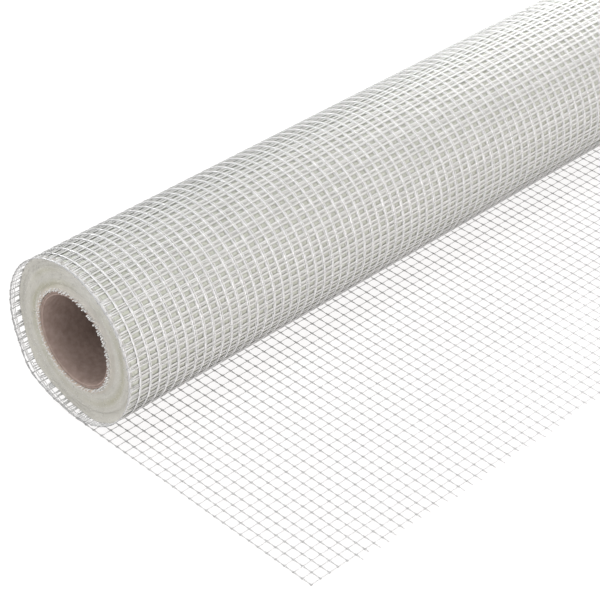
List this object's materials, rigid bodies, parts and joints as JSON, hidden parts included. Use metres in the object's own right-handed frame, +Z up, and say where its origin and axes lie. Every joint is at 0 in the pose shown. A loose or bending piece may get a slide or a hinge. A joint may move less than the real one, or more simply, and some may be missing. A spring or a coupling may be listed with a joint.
{
  "type": "roll of fiberglass mesh",
  "caption": "Roll of open glass fibre mesh wound on a cardboard core, lying on its side with its free end laid out flat.",
  "frame": {"origin": "on the floor, on the line where the roll touches it, halfway along the web", "axes": "+X along the core, away from the end that the picture shows, +Z up; the free end lies towards -Y"},
  "size_m": [1.0056, 0.184, 0.078],
  "materials": {
    "coated_glass_yarn": "satin",
    "core_board": "matte"
  },
  "bodies": {
    "root": {"glass_mesh": "coated_glass_yarn", "core_tube": "core_board"}
  },
  "joints": []
}
